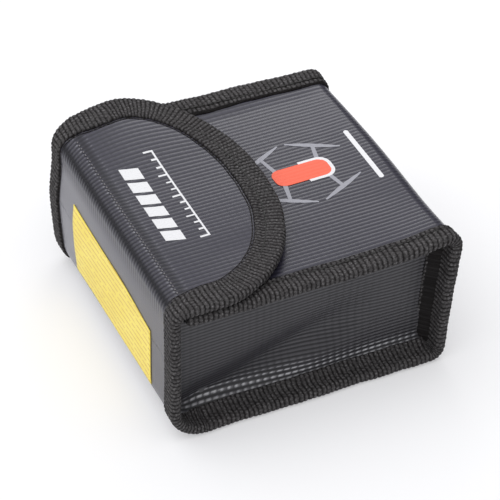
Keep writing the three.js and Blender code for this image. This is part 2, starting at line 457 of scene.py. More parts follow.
def coated_cloth(name, ridge, valley_shade, coat):
    """Woven glass fibre under a thin coat: satin on the ribs, dull between them, where painted shade darkens
    the valleys, slightly patchy, and paler where a painted highlight, the glint, lies."""
    n = Nodes(name)
    place = n.weave()
    relief = n.attribute("relief")
    patches = n.noise(place, 0.06, 3)
    fine = n.noise(place, 2.6, 2)
    # Painted shade: the colour darkens from the ribs into the valleys, down to a third of their colour at the
    # bottom.
    base = n.ramp(relief, [(0.0, tuple(0.3 * c for c in valley_shade)), (0.4, valley_shade), (0.9, ridge)])
    tone = n.span(patches, 0.75, 1.25)
    toned = n.mix(1.0, base, n.ramp(tone, [(0.0, (0, 0, 0)), (1.0, (1, 1, 1))]), "MULTIPLY")
    # Painted highlight: the glint pales the colour towards silver.
    shiny = n.mix(n.attribute("glint"), toned, (0.62, 0.62, 0.64))
    n.bump(fine, 0.12, 0.0003)
    return n.set(
        Base_Color=shiny, Roughness=n.span(fine, 0.38, 0.52), Specular_IOR_Level=0.38,
        Coat_Weight=n.span(relief, 0.1 * coat, coat, 0.0, 0.9), Coat_IOR=1.6, Coat_Roughness=0.2,
        Coat_Tint=(0.95, 0.95, 1.0),
    )


def woven_tape(name, ridge, valley_shade):
    """Heavy ribbed tape: matt and nearly black, with painted highlights where the thread tops catch the light
    in specks.
    """
    n = Nodes(name)
    place = n.weave()
    relief = n.attribute("relief")
    knots = n.add("TexVoronoi")
    n.fill(knots, Scale=1.05, Vector=place)
    speck = n.span(knots.outputs["Distance"], 1.0, 0.0, 0.1, 0.75)
    threads = n.noise(place, 1.9, 4, 0.7)
    patches = n.noise(place, 0.05, 2)
    # Painted shade: low relief, in the gaps between cords, in the sewn groove and at the inner edge, takes
    # the near-black colour.
    base = n.ramp(relief, [(0.25, valley_shade), (0.85, ridge)])
    # Painted highlights: light specks on the thread tops.
    lit = n.math("MULTIPLY", speck, n.span(threads, 0.0, 1.0, 0.4, 0.7))
    speckled = n.mix(n.math("MULTIPLY", lit, relief), base, tuple(5.5 * c for c in ridge))
    tinted = n.mix(n.span(patches, 0.0, 0.3), speckled, (0.042, 0.033, 0.034))
    n.bump(n.math("ADD", speck, threads), 0.75, 0.0004)
    return n.set(Base_Color=tinted, Roughness=0.82, Specular_IOR_Level=0.2)


def lining_cloth(name):
    """Plain grey inner cloth with a coarse check."""
    n = Nodes(name)
    place = n.weave()
    relief = n.attribute("relief")
    fine = n.noise(place, 1.2, 3)
    base = n.ramp(relief, [(0.1, (0.1, 0.1, 0.105)), (0.9, (0.2, 0.2, 0.21))])
    n.bump(fine, 0.25, 0.0003)
    return n.set(Base_Color=base, Roughness=n.span(fine, 0.45, 0.65), Specular_IOR_Level=0.5)


def label_paper(name):
    """A plain yellow sticker with faint broken rules on it."""
    n = Nodes(name)
    place = n.weave()
    parts = n.add("SeparateXYZ")
    n.put(parts.inputs[0], place)
    row = n.math("FRACT", n.math("DIVIDE", parts.outputs["Y"], 2.6))
    line = n.math("LESS_THAN", n.math("ABSOLUTE", n.math("SUBTRACT", row, 0.5)), 0.13)
    breaks = n.noise(place, 0.55, 0, 0.5)
    drawn = n.math("MULTIPLY", line, n.math("GREATER_THAN", breaks, 0.36))
    paper = n.ramp(n.noise(place, 0.05, 3), [(0.3, (0.88, 0.69, 0.1)), (0.7, (0.95, 0.79, 0.16))])
    colour = n.mix(n.math("MULTIPLY", drawn, 0.7), paper, (0.66, 0.4, 0.08))
    n.bump(n.noise(place, 0.8, 3), 0.05, 0.0003)
    return n.set(Base_Color=colour, Roughness=0.45, Specular_IOR_Level=0.4)


def printed_ink(name, colour):
    """Ink pressed into the cloth, with slight wear over the ribs."""
    n = Nodes(name)
    place = n.weave()
    wear = n.noise(place, 1.6, 4, 0.7)
    wear_and_shade = n.mix(n.span(wear, 0.0, 0.5, 0.5, 0.8), colour, tuple(0.55 * c for c in colour))
    n.bump(wear, 0.15, 0.0002)
    return n.set(Base_Color=wear_and_shade, Roughness=0.5)


def fuzzy_strip(name):
    """The black pile of a hook or loop strip."""
    n = Nodes(name)
    place = n.weave()
    fuzz = n.noise(place, 2.2, 5, 0.8)
    base = n.ramp(fuzz, [(0.3, (0.006, 0.006, 0.006)), (0.7, (0.03, 0.03, 0.032))])
    n.bump(fuzz, 0.9, 0.0006)
    return n.set(Base_Color=base, Roughness=0.95, Sheen_Weight=0.3)


def thread(name, colour):
    """Twisted sewing thread."""
    n = Nodes(name)
    coords = n.add("TexCoord").outputs["Object"]
    twist = n.noise(coords, 2500, 2)
    n.bump(twist, 0.4, 0.0002)
    shade = n.ramp(twist, [(0.3, tuple(0.7 * c for c in colour)), (0.7, colour)])
    return n.set(Base_Color=shade, Roughness=0.6)


CLOTH = coated_cloth("outer_cloth", (0.023, 0.021, 0.037), (0.012, 0.011, 0.021), 0.55)
GUSSET_CLOTH = coated_cloth("gusset_cloth", (0.052, 0.05, 0.056), (0.015, 0.0145, 0.018), 0.36)
TAPE = woven_tape("binding_tape", (0.062, 0.06, 0.061), (0.0015, 0.0015, 0.0015))
LINING = lining_cloth("lining")
PAPER = label_paper("label")
FUZZ = fuzzy_strip("fastener")
DARK_THREAD = thread("dark_thread", (0.03, 0.03, 0.028))
# Pale thread of the fold's stitch row, which also paints highlights on the rib tops.
LIGHT_THREAD = thread("light_thread", (0.2, 0.19, 0.2))
INKS = {
    "orange_print": printed_ink("orange_print", (0.92, 0.14, 0.075)),
    "white_print": printed_ink("white_print", (0.8, 0.8, 0.82)),
    "grey_print": printed_ink("grey_print", (0.33, 0.33, 0.37)),
}


# ---- the flap's outline ----


def flap_half(x, inset):
    """Half the flap's width at x, drawn in by inset."""
    long = TIP_X - FLAP_CORNER_X - inset
    u = np.clip((x - FLAP_CORNER_X) / long, 0, 1)
    return (EDGE_Y - inset) * (1 - u ** FLAP_ROUNDNESS) ** (1 / FLAP_ROUNDNESS)


def flap_shift(x):
    """The flap's middle lies this far towards +Y."""
    return FLAP_SKEW * (x - FLAP_CORNER_X) / (TIP_X - FLAP_CORNER_X) * (x > FLAP_CORNER_X)


# ---- outer cloth and linings ----

CLOTH_START = S_MOUTH + 1          # inside the mouth's tape
FLAP_CLOTH_END = s_on_flap(TIP_X - 1.8)
STRIP_GRID = 0.95, 0.34            # spacing of a sheet's points, along and across the strip
FLAP_GRID = 0.7, 0.34
LINING_GRID = 0.95, 0.45
LINING_CHECK = 3.0, 1.9            # pitch of the lining's weave, along and across


def straight(width):
    """The same width at every arc length."""
    return lambda s: width + 0 * s


def flap_cloth_half(s):
    return np.maximum(flap_half(outline_x(s), CLOTH_INSET), FLAP_LEAST_HALF)


def flap_cloth_shift(s):
    return flap_shift(outline_x(s))


def outline_x(s):
    """Where the flap's outline is read at arc length s: at the lid's face as far as the fold's end."""
    return np.where(s > S_FLAP, LID_X + FLAP_FOLD_R + s - S_FLAP, LID_X)


def sheet_grid(s0, s1, half, shift, spacing, tucked=False):
    """Arc length and y of a sheet's points from s0 to s1, half(s) to each side of shift(s)."""
    nu = steps_of(s1 - s0, spacing[0])
    widest = float(np.max(half(np.linspace(s0, s1, 50))))
    nv = steps_of(2 * widest, spacing[1])
    rows = np.append(np.linspace(s0, s1, nu - 1), s1 + TUCK) if tucked else np.linspace(s0, s1, nu)
    s = rows[:, None]
    return s, shift(s) + np.linspace(-1, 1, nv)[None, :] * half(s)


def outer_sheet(name, s0, s1, half, shift=straight(0), spacing=STRIP_GRID, tucked=False, glint_at=None):
    """Outer cloth from s0 to s1. A tucked end goes on a little way under the next sheet, so that no gap shows
    between the two."""
    s, y = sheet_grid(s0, s1, half, shift, spacing, tucked)
    face = strip_surface(s, y, cloth_lift(s, y) - TUCK_DEPTH * (s > s1))
    back = strip_surface(s, y, np.broadcast_to(-CLOTH_THICK, y.shape))
    glint = glint_at(s, y) if glint_at else None
    piece = shell(name, face, back, cloth_relief(s, y), stacked(s, y, 0), CLOTH, glint=glint)
    if tucked:
        nu, nv = y.shape
        last_row = (nu - 2) * (nv - 1)
        for polygon in piece.data.polygons[last_row:last_row + nv - 1]:
            polygon.use_smooth = False
    return piece


def lining_sheet(name, s0, s1, half, shift=straight(0)):
    """Lining from s0 to s1, under the outer cloth."""
    s, y = sheet_grid(s0, s1, half, shift, LINING_GRID)
    depth = LINING_DEPTH - CLOTH_DEPTH
    relief = cosine(y, LINING_CHECK[1]) * cosine(s, LINING_CHECK[0])
    face = strip_surface(s, y, -depth - 0.06 * relief - LINING_THICK)
    back = strip_surface(s, y, np.broadcast_to(-depth, y.shape))
    return shell(name, face, back, relief, stacked(s, y, 0), LINING)


def painted_highlights(s, y):
    """Where the strip is painted paler: a painted reflection on the flat of the lid, more so towards +Y, and
    two rows of painted highlights on the thread tops by the flap's fold."""
    rows = bump(s - (S_FLAP + 0.2), 0.6) + 0.8 * bump(s - (S_FLAP + 4.4), 0.6)
    uneven = 0.55 + 0.45 * wander(y, 5, 7)
    tops = 0.4 * np.clip(rows * uneven, 0, 1) * smooth((ribs(y, s, RIB_PITCH) - 0.8) / 0.15)
    # Painted reflection on the flat of the lid, added to the painted highlights by the fold.
    return tops + 0.17 * on_lid(s) * (0.2 + 0.8 * smooth((y + 40) / 90))


def add_strip():
    """The outer cloth in three pieces that meet at the lid: bag, lower lid, and upper lid with flap."""
    half = straight(EDGE_Y - CLOTH_INSET)
    bag = outer_sheet("bag_cloth", CLOTH_START, S_BEND, half, tucked=True)
    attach(bag, "pouch")
    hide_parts("front_panel", "bottom_panel", "back_panel")

    lower = outer_sheet("lid_cloth", S_BEND, S_SPLIT, half, tucked=True, glint_at=painted_highlights)
    blend_lid(lower)
    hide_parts("lid_panel")

    upper = outer_sheet("flap_cloth", S_SPLIT, FLAP_CLOTH_END, flap_cloth_half, flap_cloth_shift, FLAP_GRID,
                        glint_at=painted_highlights)
    blend_flap(upper)
    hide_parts("flap_panel")


def blend_lid(piece):
    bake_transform(piece)


def blend_flap(piece):
    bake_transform(piece)


def add_linings():
    """The lining in the same three stretches."""
    bag = lining_sheet("bag_lining", CLOTH_START, S_BEND, straight(GUSSET_Y - 1.2))
    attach(bag, "pouch")
    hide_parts("front_lining", "bottom_lining", "back_lining")
    lower = lining_sheet("lid_lining_cloth", S_BEND, S_SPLIT, straight(EDGE_Y - CLOTH_INSET))
    blend_lid(lower)
    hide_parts("lid_lining")
    upper = lining_sheet("flap_lining_cloth", S_SPLIT, FLAP_CLOTH_END, flap_cloth_half, flap_cloth_shift)
    blend_flap(upper)
    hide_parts("flap_lining")


# ---- gussets ----

FILLET = {"low": 6.5, "end": 4.5, "high": 4.0}    # how softly a gusset turns into each of its seams
FLANGE_DEPTH = 3.1
FLANGE_SHORT = 2.2                 # the turned edge ends this far inside the seam's edge
GUSSET_GRID = 0.95, 0.28           # spacing of a gusset's points along it and across its height
GUSSET_LINING_DEPTH = 1.3
GUSSET_LINING_START = MOUTH_X + 1


def rounded_edge(radius, size):
    """A profile that comes in along a flange and turns into the plate: how far it is from the flange's line,
    how far out of the plate, and how far it has turned."""
    flange = SEAM - FLANGE_SHORT - radius
    n_flat = max(2, int(flange / 1.5))
    n_arc = max(8, int(radius * 1.57 / size))
    arc_turn = np.linspace(0, math.pi / 2, n_arc)
    turn = np.concatenate([np.zeros(n_flat), arc_turn])
    along_flange = np.linspace(radius + flange, radius, n_flat, endpoint=False)
    out = np.concatenate([along_flange, radius - radius * np.sin(arc_turn)])
    return radius * (1 - np.cos(turn)), out, turn


def edge_profile(low, high, r_low, r_high, size):
    """Places across a gusset from one turned edge to the other: position, outward offset, the angle it faces
    and its length so far."""
    plain = np.array([0.0]), np.array([0.0]), np.array([math.pi / 2])
    rise0, out0, turn0 = rounded_edge(r_low, size) if r_low else plain
    rise1, out1, turn1 = rounded_edge(r_high, size)
    start, stop = low + r_low, high - r_high
    count = int((stop - start) / size)
    flat = np.linspace(start, stop, count)[1:-1]
    place = np.concatenate([low + rise0, flat, (high - rise1)[::-1]])
    out = np.concatenate([out0, flat * 0, out1[::-1]])
    face = np.concatenate([turn0 - math.pi / 2, flat * 0, (math.pi / 2 - turn1)[::-1]])
    length = np.concatenate([[0.0], np.cumsum(np.hypot(np.diff(place), np.diff(out)))])
    return place, out, face, length


def resampled(profile):
    """The same profile with a point count that suits the shell."""
    last = len(profile[0]) - 1
    grid = np.linspace(0, last, steps_of(last, 1))
    return tuple(np.interp(grid, np.arange(last + 1), column) for column in profile)


def gusset_dent(x, z, side):
    """How far a gusset's cloth gives way inwards: a shallow hollow, and a slanted crease that is deep on the
    left and faint on the right."""
    u, w = (x - LID_X) / (BOTTOM_X - LID_X), z / TOP_Z
    low_fade = smooth((z - 3) / 6)
    hollow = 1.1 * np.sin(math.pi * np.clip(u, 0, 1)) * np.sin(math.pi * np.clip(w, 0, 1))
    if side < 0:
        across = (w - 0.06) * 56 * 0.94 - (u - 0.06) * 110 * 0.3
        reach = smooth((0.85 - u) / 0.35) * smooth((u - 0.02) / 0.12)
        crease = 3.4 * bump(across, 8.0) * reach - 1.2 * bump(across + 11, 8) * reach * (1 - w)
        return hollow + crease * low_fade
    across = (w - 0.8) * 56 * 0.8 + (u - 0.15) * 110 * 0.35
    return hollow + 1.6 * bump(across, 7) * smooth((0.8 - u) / 0.3)


def painted_glints(x, z, relief):
    """Painted highlights: glinting dashes on the ribs just above the lower seam, where the cloth turns into
    it.
    """
    u = (x - LID_X) / (BOTTOM_X - LID_X)
    middle = 6.6 + 1.0 * np.sin(math.pi * u)
    row = bump(z - middle, 1.7 + 0.9 * np.sin(math.pi * np.clip(u, 0, 1)))
    dashes = 0.2 + 0.8 * smooth((cosine(x, CROSS_PITCH) - 0.1) / 0.3)
    along_row = smooth((u - 0.02) / 0.12) * smooth((0.95 - u) / 0.05)
    return 0.95 * row * along_row * smooth((relief - 0.86) / 0.12) * dashes


def add_gusset(name, side):
    """A gusset's cloth, which turns outwards into its three seams, and its flat lining."""
    high, end = TOP_Z - FLANGE_DEPTH, BOTTOM_X - FLANGE_DEPTH
    upright = edge_profile(FLANGE_DEPTH, high, FILLET["low"], FILLET["high"], GUSSET_GRID[1])
    lengthwise = edge_profile(MOUTH_X - 0.2, end, 0, FILLET["end"], GUSSET_GRID[0])
    z, out_z, face_z, len_z = (a[None, :] for a in resampled(upright))
    x, out_x, face_x, len_x = (a[:, None] for a in resampled(lengthwise))
    out = np.maximum(out_x, out_z)
    by_z = out_z >= out_x
    nz = np.where(by_z, -np.sin(face_z), 0)
    nx = np.where(by_z, 0, -np.sin(face_x))
    ny = np.sqrt(np.clip(1 - nx ** 2 - nz ** 2, 0, 1))
    dent = gusset_dent(x, z, side)
    lid_bend = LID_BEND_R - np.sqrt(LID_BEND_R ** 2 - np.clip(LID_X + LID_BEND_R - x, 0, 10) ** 2)
    z_here = z + lid_bend * smooth((16 - z) / 12)
    relief = ribs(len_z + 0 * x, len_x + 0 * z, GUSSET_RIB_PITCH)

    def cloth(lift):
        return settle(stacked(x + nx * lift, side * (GUSSET_Y + out - dent + ny * lift), z_here + nz * lift))

    piece = shell(name + "_gusset_cloth", cloth(GUSSET_RIB_HEIGHT * relief), cloth(-CLOTH_THICK), relief,
                  stacked(len_x, len_z, 0), GUSSET_CLOTH, glint=painted_glints(x, z_here, relief))
    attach(piece, "pouch")
    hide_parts(name + "_gusset")

    gx = np.linspace(GUSSET_LINING_START, BOTTOM_X - 3.4, 61)[:, None]
    gz = np.linspace(3.4, TOP_Z - 3.4, 31)[None, :]
    gx = np.maximum(gx, GUSSET_LINING_START + 3 * smooth((14 - gz) / 12))

    def lining(offset):
        depth = GUSSET_LINING_DEPTH + (gusset_dent(gx, gz, side) + 0.5) + offset
        return settle(stacked(gx, side * (GUSSET_Y - depth), gz))

    piece = shell(name + "_gusset_inner", lining(LINING_THICK), lining(0.0), np.full(gx.shape, 0.55),
                  stacked(gx, gz, 0), LINING)
    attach(piece, "pouch")
    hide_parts(name + "_gusset_lining")


# ---- woven tape folded round an edge ----

TAPE_STEP = TAPE_PITCH / 6         # spacing of a tape's rings


def tape_section(thick, width, fillet=None, end_angle=135.0):
    """The tape's outside in (b, n): b is 0 at the edge and negative towards the cloth, n is 0 on the outer
    face and negative inwards. Also the angle it faces, its length so far, and the slot that the cloth lies
    in. With a fillet, the lower leaf curves into the gusset."""
    r = min(1.7, thick / 2 - 0.1)
    parts = []

    def straight_part(b0, n0, b1, n1, count, facing0, facing1):
        t = np.linspace(0, 1, count, endpoint=False)
        parts.append(np.stack([b0 + t * (b1 - b0), n0 + t * (n1 - n0), facing0 + t * (facing1 - facing0)], 1))

    def arc_part(cb, cn, radius, a0, a1, count, flip=0.0):
        t = np.linspace(0, 1, count, endpoint=False)
        a = np.radians(a0 + t * (a1 - a0))
        parts.append(np.stack([cb + radius * np.cos(a), cn + radius * np.sin(a), np.degrees(a) + flip], 1))

    straight_part(-width, -0.85, -width + 0.9, -0.1, 3, 130, 95)
    straight_part(-width + 0.9, -0.1, -r, 0, 18, 90, 90)
    arc_part(-r, -r, r, 90, 0, 6)
    straight_part(0, -r, 0, -thick + r, 2, 0, 0)
    arc_part(-r, -thick + r, r, 0, -90, 6)
    if fillet:
        start = -SEAM + fillet
        straight_part(-r, -thick, start, -thick, 8, -90, -90)
        arc_part(start, -thick - fillet, fillet, 90, end_angle, 8, -180)
        last = math.radians(end_angle)
        b_end = start + fillet * math.cos(last)
        n_end = -thick - fillet + fillet * math.sin(last)
    else:
        straight_part(-r, -thick, -width + 0.9, -thick + 0.1, 16, -90, -90)
        b_end, n_end = -width, -thick + 0.85
    parts.append(np.array([[b_end, n_end, parts[-1][-1, 2]]]))
    outside = np.concatenate(parts)
    length = np.concatenate([[0.0], np.cumsum(np.hypot(np.diff(outside[:, 0]), np.diff(outside[:, 1])))])
    mid = -thick / 2
    slot = np.array([[b_end - 0.1, n_end + 0.6], [-SEAM * 0.55, -thick + 0.75], [-1.2, -thick + 0.9],
                     [-0.8, mid], [-1.2, -0.9], [-width * 0.6, -0.75], [-width + 0.1, -1.0]])
    return outside[:, :2], np.radians(outside[:, 2]), length, slot


def between(first, second, t):
    """A section part of the way from one to another of the same point count."""
    return tuple(a + (b - a) * t for a, b in zip(first, second))


def tape_relief(s, t, seed):
    """Cords across the tape, broken along their length like coarse weave."""
    wobble = 0.16 * wander(t + 3.7 * np.sin(s / 23.0), seed, 16)
    phase = s / TAPE_PITCH + wobble + 0.25 * wander(s, seed + 1, 40)
    cord = np.abs(np.cos(np.pi * phase)) ** 0.75
    row = np.floor(phase + 0.5)
    knots = 0.5 + 0.5 * np.cos(2 * np.pi * (t / 1.55 + 0.5 * (row % 2)))
    return np.clip(cord * (0.6 + 0.4 * knots), 0, 1)


def tape_rings(s, edge, out, normal, section_at, seed, groove=3.0, line=0.0, crease=0.0, closed_over=None):
    """Rings of a folded tape. edge, out and normal are (n, 3) arrays of the cloth's edge, the direction
    away from the cloth and the face's normal; section_at gives the section at an index. groove is how far in
    the tape is sewn, and line deepens that groove and paints a black shadow into it. crease (0 to 1) presses
    a soft channel into the tape. closed_over is the thickness of a tape whose first end is folded shut."""
    rings, reliefs, weaves = [], [], []
    crease = np.broadcast_to(crease, len(s))
    for i in range(len(s)):
        profile, facing, length, slot = section_at(i)
        relief = tape_relief(s[i], length, seed)
        fade = smooth(length) * smooth(length[-1] - length)
        lift = TAPE_RIB_HEIGHT * (relief - 0.5) * fade
        sewn = bump(length - groove, 0.45)
        lift = lift - (0.4 + 0.6 * line) * sewn - 0.7 * crease[i] * bump(length - 4.4, 0.9)
        b = profile[:, 0] + np.cos(facing) * lift
        n = profile[:, 1] + np.sin(facing) * lift
        ring = np.concatenate([np.stack([b, n], 1), slot])
        if closed_over:
            t = np.clip((s[i] - s[0]) / 2.4, 0.03, 1)
            ring[:, 1] = -closed_over / 2 + (ring[:, 1] + closed_over / 2) * math.sqrt(1 - (1 - t) ** 2)
        rings.append(edge[i] + ring[:, :1] * out[i] + ring[:, 1:] * normal[i])
        # Painted shade: the inner edge and the sewn groove are darkened, the groove to a black painted shadow
        # when line is 1.
        edge_shade = smooth((length - 0.7 + 1.1 * line) / 0.9)
        shade = relief * (1 - (0.7 + 0.3 * line) * sewn) * edge_shade
        reliefs.append(np.concatenate([shade, np.full(len(slot), 0.1)]))
        across = np.concatenate([length, np.zeros(len(slot))])
        weaves.append(np.stack([np.full(len(ring), s[i]), across, 0 * across], 1))
    return settle(np.array(rings)), np.array(reliefs), np.array(weaves)


def strip_edge(s, side):
    """The edge of the strip at y = side * EDGE_Y: point, direction away from the cloth and normal."""
    x, z, nx, nz = along(s)
    out = np.tile([0.0, side, 0.0], (len(s), 1))
    return stacked(x, side * EDGE_Y, z), out, stacked(nx, 0, nz)


def add_seam_tape(name, side):
    """From the mouth of the front panel round the bottom and along the back to the lid's bend."""
    s = np.arange(S_MOUTH, S_BEND + 0.01, TAPE_STEP)
    edge, out, normal = strip_edge(s, side)
    seed = 21 if side < 0 else 27
    edge = edge + out * (0.35 * wander(s, seed, 28))[:, None]
    edge = edge + normal * (0.12 * wander(s, seed + 3, 22))[:, None]
    high, end, low = FILLET["high"], FILLET["end"], FILLET["low"]

    def section(i):
        to_end = smooth((s[i] - S_FOLD + 6) / 10)
        to_back = smooth((s[i] - S_FOLD_LOW - 2) / 8)
        fillet = high + (end - high) * to_end + (low - end) * to_back
        return tape_section(SEAM_THICK, TAPE_LEAF, fillet, 150 + 28 * to_end - 40 * to_back)

    rings = tape_rings(s, edge, out, normal, section, seed, closed_over=SEAM_THICK)
    piece = loft(name + "_seam_binding", *rings, TAPE)
    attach(piece, "pouch")
    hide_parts(name + "_seam_tape")


def add_lid_tape(name, side):
    """From the lid's bend up to the middle of the lid: the seam's section turns into the plain hem's."""
    s = np.linspace(S_BEND, S_SPLIT, len(np.arange(S_BEND, S_SPLIT + 0.01, TAPE_STEP)))
    edge, out, normal = strip_edge(s, side)
    seam = tape_section(SEAM_THICK, TAPE_LEAF, FILLET["low"], 138)
    hem = tape_section(HEM_THICK, TAPE_LEAF)

    def section(i):
        return between(seam, hem, float(smooth((s[i] - S_BEND) / 11)))

    rings = tape_rings(s, edge, out, normal, section, 31 if side < 0 else 37, groove=0.9, line=1.0)
    piece = loft(name + "_lid_binding", *rings, TAPE)
    blend_lid(piece)
    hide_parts(f"lid_{name}_tape")


def flap_edge():
    """The edge of the upper lid and the flap, from the left side of the lid round the tip to the right side:
    length so far, point, direction away from the cloth and normal."""
    s = np.arange(S_SPLIT, s_on_flap(FLAP_CORNER_X), TAPE_STEP)
    power = 2 / FLAP_ROUNDNESS
    angle = np.linspace(-math.pi / 2, math.pi / 2, 4001)
    x = FLAP_CORNER_X + (TIP_X - FLAP_CORNER_X) * np.abs(np.cos(angle)) ** power
    y = EDGE_Y * np.sign(np.sin(angle)) * np.abs(np.sin(angle)) ** power + flap_shift(x)
    run = np.concatenate([[0.0], np.cumsum(np.hypot(np.diff(x), np.diff(y)))])
    at = np.linspace(TAPE_STEP, run[-1] - TAPE_STEP, int(run[-1] / TAPE_STEP) - 1)
    px, py = np.interp(at, run, x), np.interp(at, run, y)
    tx, ty = np.gradient(px), np.gradient(py)
    size = np.hypot(tx, ty)
    tip = stacked(px, py, FLAP_Z), stacked(ty / size, -tx / size, 0), np.tile([0.0, 0.0, 1.0], (len(px), 1))
    parts = strip_edge(s, -1), tip, strip_edge(s[::-1], 1)
    edge, out, normal = (np.concatenate(column) for column in zip(*parts))
    for _ in range(12):            # rounds off where the straight edges meet the curve
        out[1:-1] = (out[:-2] + 2 * out[1:-1] + out[2:]) / 4
    out /= np.linalg.norm(out, axis=1)[:, None]
    run = np.concatenate([[0.0], np.cumsum(np.linalg.norm(np.diff(edge, axis=0), axis=1))])
    return run, edge, out, normal


def add_flap_tape():
    """Round the upper lid and the flap, wider and a little wavy once it is on the flap."""
    run, edge, out, normal = flap_edge()
    wide = smooth((run - 22) / 20) * smooth((run[-1] - 22 - run) / 20)

    def section(i):
        return tape_section(HEM_THICK, TAPE_LEAF + (FLAP_TAPE - TAPE_LEAF) * wide[i])

    edge = edge + out * (0.3 * wander(run, 45, 34) * wide)[:, None]
    at_tip = bump(run - 0.47 * run[-1], 42)
    rings = tape_rings(run, edge, out, normal, section, 41, groove=0.9, line=1.0, crease=at_tip)
    piece = loft("flap_binding", *rings, TAPE)
    blend_flap(piece)
    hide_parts("flap_tape")


def add_mouth_tape():
    """Across the mouth's edge of the front panel, with its ends under the seam tapes."""
    y = np.arange(-GUSSET_Y - 1.6, GUSSET_Y + 1.6, TAPE_PITCH / 4)
    edge = stacked(MOUTH_X, y, TOP_Z - 0.2)
    out = np.tile([-1.0, 0.0, 0.0], (len(y), 1))
    normal = np.tile([0.0, 0.0, 1.0], (len(y), 1))
    section = tape_section(HEM_THICK, cad("front_mouth_tape", 1, "x") - MOUTH_X)
    rings = tape_rings(y, edge, out, normal, lambda i: section, 51)
    piece = loft("front_mouth_binding", *rings, TAPE)
    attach(piece, "pouch")
    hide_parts("front_mouth_tape")


# ---- label, prints, stitches and fastener ----

AIRCRAFT = 22.0, 2.2               # middle of the printed aircraft, in X and Y
PRINT_THICK = 0.14
PRINT_GAP = 0.02
THREAD_WIDTH = 0.6


def add_label():
    """A sticker on the lid whose upper edge rises towards +Y and drops off at its near end."""
    y = np.linspace(LABEL_Y[0], LABEL_Y[1], 61)[None, :]
    top_edge = LABEL_Z[1] + 3.6 * (y - LABEL_Y[0]) / (LABEL_Y[1] - LABEL_Y[0]) - 2.5 * smooth((-y - 10) / 30)
    up = np.linspace(0, 1, 37)[:, None]
    s = S_LID + LABEL_Z[0] + up * (top_edge - LABEL_Z[0]) - LID_BEND_R
    ridge = 0.04 * np.cos(2 * np.pi * y / RIB_PITCH) + 0.08 * wander(y, 61, 25)
    top = strip_surface(s, y, RIB_HEIGHT + 0.22 + ridge)
    under = strip_surface(s, y, RIB_HEIGHT + 0.05)
    piece = shell("yellow_sticker", top, under, np.full(s.shape, 0.5), stacked(y, s - S_LID, 0), PAPER)
    blend_lid(piece)
    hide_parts("label")


def print_piece(name, outline, ink, surface, extra=0.0):
    """A flat print pressed on the cloth: its outline is filled with points fine enough to follow the ribs."""
    outline = np.asarray(outline, float)
    rim = []
    for a, b in zip(outline, np.roll(outline, -1, 0)):
        count = max(1, int(math.ceil(np.hypot(*(b - a)) / 0.4)))
        rim += [a + (b - a) * k / count for k in range(count)]
    low, high = outline.min(0), outline.max(0)
    fill_x = np.arange(low[0] + 0.3, high[0], 0.8)
    fill_y = np.arange(low[1] + 0.17, high[1], 0.3)
    verts = [Vector(p) for p in rim] + [Vector((a, b)) for a in fill_x for b in fill_y]
    edges = [(k, (k + 1) % len(rim)) for k in range(len(rim))]
    made = delaunay_2d_cdt(verts, edges, [list(range(len(rim)))], 1, 1e-5)
    used = sorted({v for face in made[2] for v in face})
    order = {v: k for k, v in enumerate(used)}
    faces = [[order[v] for v in face] for face in made[2]]
    flat = np.array([tuple(made[0][v]) for v in used])
    n = len(flat)
    top = surface(flat[:, 0], flat[:, 1], PRINT_THICK + extra)
    under = surface(flat[:, 0], flat[:, 1], PRINT_GAP)
    sides = {(a, b) for face in faces for a, b in zip(face, face[1:] + face[:1])}
    walls = [[b, a, a + n, b + n] for a, b in sorted(sides) if (b, a) not in sides]
    closed = faces + [[v + n for v in face[::-1]] for face in faces] + walls
    weave = np.tile(np.column_stack([flat, 0 * flat[:, 0]]), (2, 1))
    piece = make_mesh(name, np.concatenate([top, under]), closed, INKS[ink], np.full(2 * n, 0.5), weave)
    return piece


def on_strip(s, y, lift):
    """A print's place on top of the ribs."""
    return strip_surface(s, y, cloth_lift(s, y) + lift)


def on_front(x, y, lift):
    return on_strip(S_MOUTH + (x - MOUTH_X), y, lift)


def on_flap(x, y, lift):
    return on_strip(s_on_flap(x), y, lift)


def stadium(cx, cy, length, width, corner):
    """A rectangle with round corners about its middle: length along X and width along Y."""
    points = []
    for sx, sy, start in ((1, 1, 0), (-1, 1, 90), (-1, -1, 180), (1, -1, 270)):
        ox, oy = cx + sx * (length / 2 - corner), cy + sy * (width / 2 - corner)
        for k in range(7):
            a = math.radians(start + 15 * k)
            points.append((ox + corner * math.cos(a), oy + corner * math.sin(a)))
    return points


def half_across(x0, y0, x1, y1):
    """Half of the unit vector across a line."""
    length = math.hypot(x1 - x0, y1 - y0)
    return -(y1 - y0) / length / 2, (x1 - x0) / length / 2


def bar(x0, y0, x1, y1, wide0, wide1):
    """A four-cornered bar between two points that tapers from one width to the other."""
    px, py = half_across(x0, y0, x1, y1)
    return [(x0 + px * wide0, y0 + py * wide0), (x0 - px * wide0, y0 - py * wide0),
            (x1 - px * wide1, y1 - py * wide1), (x1 + px * wide1, y1 + py * wide1)]


def blade(x0, y0, x1, y1, wide):
    """A long lens shape between two points."""
    t = np.linspace(0, 1, 9)
    px, py = half_across(x0, y0, x1, y1)
    half = wide * (0.3 + 0.7 * np.sin(math.pi * t))
    x, y = x0 + (x1 - x0) * t, y0 + (y1 - y0) * t
    return [*zip(x + px * half, y + py * half), *zip(x[::-1] - px * half[::-1], y[::-1] - py * half[::-1])]


